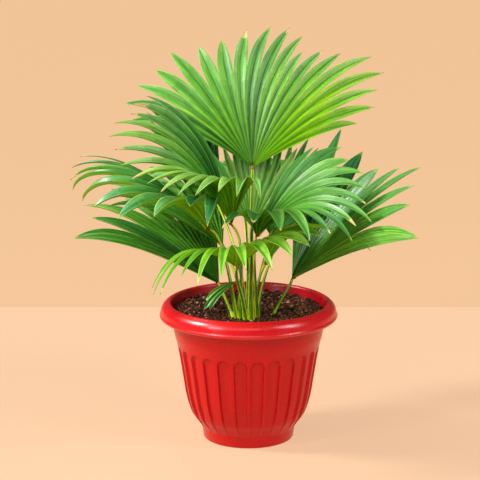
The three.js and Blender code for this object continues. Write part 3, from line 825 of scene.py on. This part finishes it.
# %% Spine and rings of a stalk
PETIOLE_STEPS, PETIOLE_SIDES, KEEL_STEPS = 44, 24, 8
FOOT_DEPTH = 4.0            # how deep a stalk stands in the soil
KEEL_START, KEEL_SHARE = 3, 0.11        # where the keel starts, and its end as a share of the reach
KEEL_BELOW = (1.6, 0.7)     # how far it lies below the blade's middle, at its start and at its end
KEEL_NARROWS = (0.9, 0.25)
HOLLOW = 0.5                # share of its radius that the upper side lacks
SHEATH, SHEATH_FADES = 0.55, 9          # how much wider the sheath is, and how fast that fades
CROWN_MIDDLE = np.array([0.0, -20.0])   # the hollow side of each stalk's foot looks to it
TURNS_TO_BLADE = (0.2, 0.9)             # way up the stalk over which it then turns to the blade
TURN = np.arange(PETIOLE_SIDES) / PETIOLE_SIDES * 2 * math.pi


def stalk_spine(leaf):
    """Points along a stalk and its keel, and for each its way up the stalk, from 0 to 1."""
    path = petiole_path(leaf, PETIOLE_STEPS)
    middle_line = grow_lines(leaf, np.array([line_angle(leaf, 0.0)]))
    keel_radii = np.linspace(KEEL_START, KEEL_SHARE * leaf["reach"], KEEL_STEPS)
    place, _, up = on_lines(middle_line, keel_radii[None])
    depth = lerp(*KEEL_BELOW, np.linspace(0, 1, KEEL_STEPS))[:, None]
    keel = np.array(leaf["hub"]) + place[0] - up[0] * depth
    u = np.concatenate([[0], np.linspace(0, 1, PETIOLE_STEPS + 1), np.ones(KEEL_STEPS)])
    return np.concatenate([path[:1] - [0, 0, FOOT_DEPTH], path, keel]), u


def stalk_rings(leaf, spine, u):
    """A ring of points round each point of the spine."""
    along = unit(np.gradient(spine, axis=0))
    radius = lerp(*leaf["stalk"], np.sqrt(u))
    radius[-KEEL_STEPS:] *= np.linspace(*KEEL_NARROWS, KEEL_STEPS)
    inward = np.array([*(CROWN_MIDDLE - leaf["base"]), 0.0])
    reference = lerp(unit(inward), blade_frame(leaf)[1], ramp(u, *TURNS_TO_BLADE)[:, None])
    front = unit(reference - (reference * along).sum(1, keepdims=True) * along)
    right = np.cross(along, front)
    hollow = 1 - HOLLOW * np.clip(np.cos(TURN), 0, 1) ** 2
    sheath = 1 + SHEATH * np.exp(-u * SHEATH_FADES)[:, None] * np.abs(np.sin(TURN))
    ring = radius[:, None] * hollow * sheath
    points = spine[:, None] + front[:, None] * (ring * np.cos(TURN))[..., None]
    return points + right[:, None] * (ring * np.sin(TURN))[..., None]


print("a stalk has", PETIOLE_STEPS + 1 + KEEL_STEPS, "rings above its foot")


# %% [markdown]
# A stalk is dark green on its back, set darker still as painted shade of the crown, paler at its foot
# and yellow-green along its two margins, and a dry brown collar sits where it meets the blade. Some
# stalks are painted darker again, as shade. Like the blade it takes plain tones, dealt out face by
# face, with fibres drawn along it.

# %% Tones of a stalk
STALK_TONES = [screen(216, 228, 56), screen(168, 200, 6), screen(88, 136, 0), screen(24, 66, 0),
               screen(150, 92, 34)]
CAP_TONE, DARKEST, COLLAR = 2, 3, 4     # their numbers, the paler margins are 0 and 1
# the back's tone is set darker than its own green, as painted shade of the crown
BACK_TONE_AND_SHADE = 2.7
FOOT_PALER, TOP_PALER, MARGIN_PALER = 0.8, 0.9, 2.1
SIDES_DIFFER, FACES_DIFFER = 0.6, 0.25
MARGIN_FROM = 0.78          # sine of the turn at which a margin starts
COLLAR_FROM = 0.96          # way up the stalk
STALK_ROUGHNESS, STALK_GLOSS = 0.3, 0.3
FIBRE_GRAIN, FIBRE_HEIGHT = (9.0, 0.25), 0.15


def stalk_material(name, colour):
    """Stalk of one green: fibres along it, and a soft waxy gloss."""
    material, tree, shader = start_material(name, STALK_ROUGHNESS)
    shader.inputs["Specular IOR Level"].default_value = STALK_GLOSS
    fibres = grain_noise(tree, FIBRE_GRAIN)
    vary(tree, fibres, shader.inputs["Base Color"], colour * 0.86, colour * 1.12)
    relief(tree, fibres, shader, FIBRE_HEIGHT)
    return material


def stalk_choice(leaf, u, k, side):
    """The number of a stalk material for the faces above ring k, side by side."""
    up = u[k]
    margin = np.abs(np.sin(TURN[side] + math.pi / PETIOLE_SIDES)) > MARGIN_FROM
    tone = BACK_TONE_AND_SHADE - FOOT_PALER * np.exp(-up * SHEATH_FADES) - TOP_PALER * ramp(up, 0.7, 1)
    tone = tone + SIDES_DIFFER * repeatable(leaf["seed"], side, 3)
    # a frond's own setting paints its stalk darker still, as shade
    tone = tone + FACES_DIFFER * repeatable(side, k, 2) - MARGIN_PALER * margin + leaf["dark_stalk"]
    tone = np.clip(np.round(tone), 0, DARKEST).astype(int)
    on_collar = (up > COLLAR_FROM) & (k < len(u) - KEEL_STEPS + 1)
    return np.where(on_collar, COLLAR, tone)


STALK = [stalk_material(f"stalk_{k}", tone) for k, tone in enumerate(STALK_TONES)]
print(len(STALK), "stalk materials")


# %% A stalk
GRAIN_ROUND, GRAIN_UP = 4, 0.4          # of the fibres' map, all round and from ring to ring


def petiole_piece(leaf):
    """A stalk with its keel, as one closed tube."""
    spine, u = stalk_spine(leaf)
    rings = stalk_rings(leaf, spine, u)
    number = np.arange(len(u) * PETIOLE_SIDES).reshape(len(u), PETIOLE_SIDES)
    faces = ring_faces(number).tolist() + [number[0][::-1].tolist(), number[-1].tolist()]
    name = leaf["name"]
    piece = mesh_piece(f"stalk_{name}", rings.reshape(-1, 3), faces, f"petiole_{name}")
    k, side = np.indices((len(u) - 1, PETIOLE_SIDES)).reshape(2, -1)
    paint(piece, STALK, np.concatenate([stalk_choice(leaf, u, k, side), [CAP_TONE, CAP_TONE]]))
    across = np.stack([side, side + 1, side + 1, side], 1) / PETIOLE_SIDES * GRAIN_ROUND
    along = np.stack([k, k, k + 1, k + 1], 1) * GRAIN_UP
    caps = np.zeros((2 * PETIOLE_SIDES, 2))
    lay_map(piece, "grain", np.concatenate([np.stack([across, along], -1).reshape(-1, 2), caps]))
    return piece


for leaf in FRONDS:
    piece = petiole_piece(leaf)
print("stalks made:", len(FRONDS))

# %% [markdown]
# ## The pot
#
# The pot is moulded in one piece of glossy plastic: a foot ring, a belly with 26 flutes whose ends
# are round, a plain band and a rolled rim. A lathe gives the round form. Here that is a half section
# of points, turned round the upright axis. Smooth lines run through the points of belly and rim.

# %% The pot's half section
BELLY_STEPS, RIM_STEPS = 7, 5           # steps of a smooth line between two of its points


def smooth_line(points, steps):
    """A Catmull-Rom line through these points, with so many steps between two of them."""
    p = np.array(points, float)
    p = np.concatenate([2 * p[:1] - p[1:2], p, 2 * p[-1:] - p[-2:-1]])
    u = np.linspace(0, 1, steps, endpoint=False)[:, None]
    out = []
    for a, b, c, d in zip(p, p[1:], p[2:], p[3:]):
        out.append(0.5 * (2 * b + (c - a) * u + (2 * a - 5 * b + 4 * c - d) * u ** 2
                          + (3 * b - a - 3 * c + d) * u ** 3))
    return np.concatenate([*out, p[-2:-1]])


FOOT = [(0, 0.6), (44, 0.6), (46, 0), (49.3, 0), (50.4, 0.5), (51, 1.6), (52.3, 11.5), (52.6, 13.2)]
BELLY = [(53.4, 14), (56, 18), (59.5, 23), (63.7, 29), (68.1, 41), (71, 53), (72.9, 64.6), (74.7, 76.4),
         (76.5, 88), (78.5, 100), (80.4, 110)]
BAND = [(80.7, 111.2), (81.6, 115.2), (82.2, 116.2), (83.9, 124), (85.2, 137.5)]
UNDER_RIM = [(85.4, 138.4), (88, 139.2), (96.5, 139.3), (98.4, 139.8)]
RIM = [(99.6, 141), (99.9, 142.6), (99.1, 144.4), (98.6, 147), (97.6, 150.6), (95.2, 154),
       (91.8, 156.4), (88.9, 156.9), (87.0, 155.6), (86.2, 153)]
INSIDE = [(85.4, 149), (82, 138), (80, 130), (62, 60)]
profile = np.concatenate([FOOT, smooth_line(BELLY, BELLY_STEPS), BAND, UNDER_RIM,
                          smooth_line(RIM, RIM_STEPS), INSIDE])
print("pot section has", len(profile), "points")


# %% [markdown]
# The flutes are pressed into the same mesh, so that their edges are real and catch the light. A
# flute's edge is a smooth step in the angle, and its round ends come from narrowing that step along a
# half circle. Where two faces meet at more than a small angle, the edge between them stays crisp.

# %% Turn and flute the pot
FLUTES, FLUTE_DEPTH = 26, 2.6
FLUTE_FOOT_Z, FLUTE_TOP_Z = 13.5, 108
FLUTE_DEEPENS = (12, 36)    # heights between which a flute gets its full depth
FLUTE_SHARE = 0.74          # of the pitch that a flute takes
FLUTE_EDGE = 0.06           # of the pitch that its rounded edge takes
COLUMNS_PER_FLUTE = 20
CRISP_FROM = 28             # degrees between two faces that make a crisp edge


def flute_press(angle, z, r):
    """How far the wall is pressed in, in millimetres."""
    pitch = 2 * math.pi / FLUTES
    phase = np.abs((angle / pitch + 0.5) % 1 - 0.5)          # 0 in the middle of a flute
    half = FLUTE_SHARE / 2 * pitch * r                         # in millimetres
    end = np.maximum(z - (FLUTE_TOP_Z - half), (FLUTE_FOOT_Z + half) - z)
    wide = np.sqrt(np.clip(1 - np.clip(end / half, 0, 1) ** 2, 0, 1)) * FLUTE_SHARE / 2
    step = np.clip((wide - phase) / FLUTE_EDGE + 0.5, 0, 1)
    return FLUTE_DEPTH * ramp(z, *FLUTE_DEEPENS) * step * step * (3 - 2 * step) * (end < half)


columns = FLUTES * COLUMNS_PER_FLUTE
angle = np.arange(columns) / columns * 2 * math.pi
r, z = profile[:, :1], profile[:, 1:] * np.ones((1, columns))
point = np.arange(len(profile))
outer = (point >= len(FOOT) - 1) & (point < len(FOOT) + BELLY_STEPS * len(BELLY))
pressed = np.where(outer[:, None], flute_press(angle[None], z, r), 0)
around = np.stack([(r - pressed) * np.cos(angle), (r - pressed) * np.sin(angle), z], -1)
quads = ring_faces(np.arange(len(profile) * columns).reshape(len(profile), columns))
pot = mesh_piece("pot_shell", around.reshape(-1, 3), quads, "pot")
pot.data.set_sharp_from_angle(angle=math.radians(CRISP_FROM))
print("pot:", len(pot.data.polygons), "faces")

# %% [markdown]
# The plastic is one red all through. The rolled rim is painted a little paler and pinker, as a broad
# sheen, and is glossier than the body, so it takes a second red. Both are slightly uneven in colour
# and in polish, from a noise through space, because moulded plastic has no grain.

# %% Glossy plastic
# The rim's red is paler and pinker than the body's: a painted sheen.
POT_RED, RIM_SHEEN_RED = screen(194, 0, 8), screen(206, 6, 22)
BODY_GLOSS, RIM_GLOSS = 0.35, 0.6
POLISH, POLISH_RANGE = 0.28, (0.25, 0.31)         # roughness
CLOUDS, SMEARS = 14, 60     # features of colour and of polish for each metre
RIM_FROM_Z = 138.8


def object_noise(tree, scale, detail=3.0):
    """Noise through space, with its scale in features for each metre."""
    place = tree.nodes.new("ShaderNodeTexCoord")
    texture = tree.nodes.new("ShaderNodeTexNoise")
    texture.inputs["Scale"].default_value = scale
    texture.inputs["Detail"].default_value = detail
    tree.links.new(place.outputs["Object"], texture.inputs["Vector"])
    return texture.outputs["Fac"]


def plastic(name, colour, gloss):
    """Moulded plastic, a little uneven in colour and in polish."""
    material, tree, shader = start_material(name, POLISH)
    shader.inputs["Specular IOR Level"].default_value = gloss
    vary(tree, object_noise(tree, CLOUDS), shader.inputs["Base Color"], colour * 0.97, colour * 1.03)
    vary(tree, object_noise(tree, SMEARS), shader.inputs["Roughness"], *POLISH_RANGE)
    return material


on_rim = np.repeat(profile[:-1, 1] > RIM_FROM_Z, columns)
reds = [plastic("red_body", POT_RED, BODY_GLOSS), plastic("red_rim_sheen", RIM_SHEEN_RED, RIM_GLOSS)]
paint(pot, reds, on_rim.astype(int))
print("faces of the rim:", int(on_rim.sum()), "of", len(on_rim))

# %% [markdown]
# ## Soil
#
# Potting soil is a bed of dark crumbs with a few lighter bits. A particle system could strew the
# crumbs, but its copies aren't plain mesh. So the bed is a bumpy disc, and thousands of small rough
# lumps lie on it, joined in one mesh. All chance comes from one seed, so the soil is always the same.

# %% The bed
random = np.random.default_rng(SEED)
SOIL_RADIUS = 84
BED_RINGS, BED_SIDES = 46, 160
HILLS, LUMPS = 1.32, 0.8    # how much the bed's hills and lumps rise and fall
HILL_WIDTH = 14


def bed_height(x, y):
    """Height of the bed, with low hills and lumps."""
    p = Vector((x / HILL_WIDTH, y / HILL_WIDTH, 0.3))
    return float(soil_height(math.hypot(x, y))) + HILLS * hills.noise(p) + LUMPS * hills.noise(p * 3.7)


bed = []
for ring in range(BED_RINGS + 1):
    radius = SOIL_RADIUS * (ring / BED_RINGS)
    for side in range(BED_SIDES):
        turn = side / BED_SIDES * 2 * math.pi
        x, y = radius * math.cos(turn), radius * math.sin(turn)
        bed.append((x, y, bed_height(x, y)))
quads = ring_faces(np.arange(len(bed)).reshape(BED_RINGS + 1, BED_SIDES))
soil_bed = mesh_piece("soil_bed", bed, quads[:, [0, 3, 2, 1]], "soil")
print("bed:", len(soil_bed.data.polygons), "faces")

# %% [markdown]
# Each crumb is a ball of twenty triangles whose twelve points are pulled in and out, stretched and
# turned by chance. Most crumbs are small, a few are large.

# %% Crumbs
CRUMBS = 7000
CRUMB_SIZE, SMALL_COMMON = (0.7, 2.2), 2.5        # radius, and the power that makes most of them small
STRETCH, ROUGHEN, LIFT = (0.6, 1.3), (0.7, 1.25), (-0.1, 0.7)
FREE_OF_WALL = 1.5          # room between crumbs and the pot's wall
gold = (1 + math.sqrt(5)) / 2
BALL = unit(np.array([(a, b * gold, 0) for a in (-1, 1) for b in (-1, 1)]
                     + [(0, a, b * gold) for a in (-1, 1) for b in (-1, 1)]
                     + [(a * gold, 0, b) for a in (-1, 1) for b in (-1, 1)], float))
near = np.linalg.norm(BALL[:, None] - BALL[None], axis=-1) < 1.1
corners = [(a, b, c) for a in range(12) for b in range(a + 1, 12) for c in range(b + 1, 12)
           if near[a, b] and near[b, c] and near[a, c]]
outward = [np.dot(np.cross(BALL[b] - BALL[a], BALL[c] - BALL[a]), BALL[a]) > 0 for a, b, c in corners]
BALL_FACES = np.array([f if out else f[::-1] for f, out in zip(corners, outward)])

lump_points, lump_faces = [], []
for k in range(CRUMBS):
    radius = (SOIL_RADIUS - FREE_OF_WALL) * math.sqrt(random.random())
    turn = random.random() * 2 * math.pi
    size = lerp(*CRUMB_SIZE, random.random() ** SMALL_COMMON)
    x, y = radius * math.cos(turn), radius * math.sin(turn)
    stretch = random.uniform(*STRETCH, 3)
    rough = BALL * random.uniform(*ROUGHEN, (len(BALL), 1)) * stretch * size
    spin, _ = np.linalg.qr(random.normal(size=(3, 3)))
    spin *= np.sign(np.linalg.det(spin))
    lift = bed_height(x, y) + size * random.uniform(*LIFT)
    lump_points.append(rough @ spin + [x, y, lift])
    lump_faces.append(BALL_FACES + len(BALL) * k)
crumbs = mesh_piece("soil_crumbs", np.concatenate(lump_points), np.concatenate(lump_faces),
                    "soil", smooth=False)
print("crumbs:", CRUMBS, "with", len(crumbs.data.polygons), "faces")

# %% [markdown]
# Moist soil is dark brown and matt, and its bits of bark and fibre are paler. Four browns are dealt
# out crumb by crumb, the darkest most often, with fine grains in relief.

# %% Browns
SOIL_TONES = [screen(46, 25, 14), screen(92, 52, 33), screen(132, 80, 52), screen(192, 134, 100)]
SOIL_ODDS = [0.42, 0.35, 0.18, 0.05]
SOIL_ROUGHNESS, SOIL_GLOSS = 0.95, 0.25
GRAINS, GRAIN_HEIGHT = 900, 0.5         # grains for each metre, and mm


def soil_material(name, colour):
    """Crumbly soil: matt, with grains in relief."""
    material, tree, shader = start_material(name, SOIL_ROUGHNESS)
    shader.inputs["Specular IOR Level"].default_value = SOIL_GLOSS
    grains = object_noise(tree, GRAINS)
    vary(tree, grains, shader.inputs["Base Color"], colour * 0.7, colour * 1.3)
    relief(tree, grains, shader, GRAIN_HEIGHT)
    return material


SOIL = [soil_material(f"soil_{k}", tone) for k, tone in enumerate(SOIL_TONES)]
soil_bed.data.materials.append(SOIL[0])
dealt = random.choice(len(SOIL), CRUMBS, p=SOIL_ODDS)
paint(crumbs, SOIL, np.repeat(dealt, len(BALL_FACES)))
print("crumbs of each brown:", np.bincount(dealt).tolist())

# %% [markdown]
# ## Floor
#
# The plant stands on a pale sheet, whose back edge lies against a slightly darker floor and makes the
# horizon. A modelled wall would do as well, but it would catch a shadow of its own. Both pieces glow
# faintly, which keeps them even while the plant still throws a soft shadow.

# %% Floor and sheet
FLOOR, SHEET = screen(170, 137, 105), screen(176, 144, 116)
SHADE = 0.55                # share of its colour that the floor gives back of the lamps' light
GLOW = 1.56                 # light that the floor adds, as a share of its colour
FLOOR_RADIUS, FLOOR_BELOW = 14, 0.001             # metres
SHEET_SIZE, SHEET_BACK = 14.0, 0.56


def stage_piece(name, colour):
    """Makes the newest object a matt, faintly glowing piece of the stage."""
    piece = bpy.context.object
    piece.name = name
    matt, _, shader = start_material(f"{name}_paint", 0.9)
    shader.inputs["Base Color"].default_value = opaque(colour * SHADE)
    shader.inputs["Emission Color"].default_value = opaque(colour)
    shader.inputs["Emission Strength"].default_value = GLOW
    shader.inputs["Specular IOR Level"].default_value = 0.1
    piece.data.materials.append(matt)


bpy.ops.mesh.primitive_circle_add(vertices=96, radius=FLOOR_RADIUS, fill_type="NGON",
                                  location=(0, 0, -FLOOR_BELOW))
stage_piece("floor", FLOOR)
bpy.ops.mesh.primitive_plane_add(size=SHEET_SIZE, location=(0, SHEET_BACK - SHEET_SIZE / 2, 0))
stage_piece("sheet", SHEET)
print("the sheet's back edge lies", SHEET_BACK, "m behind the plant")

# %% [markdown]
# ## Light
#
# Three softboxes stand at the left, at the right and in front, and give the rim and the leaves their
# sheen. Three wide suns give the even light: the strong one comes from the left, two weak ones from
# the right and from high up behind. A faint warm world fills the shadows. A picture of a real room
# could light it all at once, but then no lamp could be moved by itself.

# %% Lights
AIM = Vector((0, 0, 0.25))
SKY, SKY_STRENGTH = screen(252, 248, 232), 0.12


def softbox(name, place, width, height, power):
    """A soft area light that looks at the plant, in metres and watts."""
    data = bpy.data.lights.new(name, "AREA")
    data.shape = "RECTANGLE"
    data.size, data.size_y = width, height
    data.energy = power
    lamp = bpy.data.objects.new(name, data)
    lamp.location = place
    lamp.rotation_euler = (AIM - Vector(place)).to_track_quat("-Z", "Y").to_euler()
    bpy.context.scene.collection.objects.link(lamp)


def wide_sun(name, azimuth, elevation, spread, strength):
    """Even light from one side, as soft as its spread is wide. Angles in degrees."""
    data = bpy.data.lights.new(name, "SUN")
    data.angle = math.radians(spread)
    data.energy = strength
    lamp = bpy.data.objects.new(name, data)
    lamp.rotation_euler = Vector(direction(azimuth, elevation)).to_track_quat("Z", "Y").to_euler()
    bpy.context.scene.collection.objects.link(lamp)


softbox("left_box", (-0.75, -0.75, 0.75), 0.25, 0.5, 6.0)
softbox("right_box", (0.85, -0.45, 0.7), 0.25, 0.5, 2.5)
softbox("front_box", (-0.1, -1.3, 1.15), 1.0, 0.5, 4.0)
wide_sun("left_sun", 184, 42, 12, 3.2)
wide_sun("right_sun", -30, 42, 20, 0.8)
wide_sun("top_sun", 130, 62, 25, 0.6)
world = bpy.data.worlds.new("world")
bpy.context.scene.world = world
world.use_nodes = True
world.node_tree.nodes["Background"].inputs["Color"].default_value = opaque(SKY)
world.node_tree.nodes["Background"].inputs["Strength"].default_value = SKY_STRENGTH
bpy.context.scene.view_settings.view_transform = "Standard"
bpy.context.scene.view_settings.look = "None"
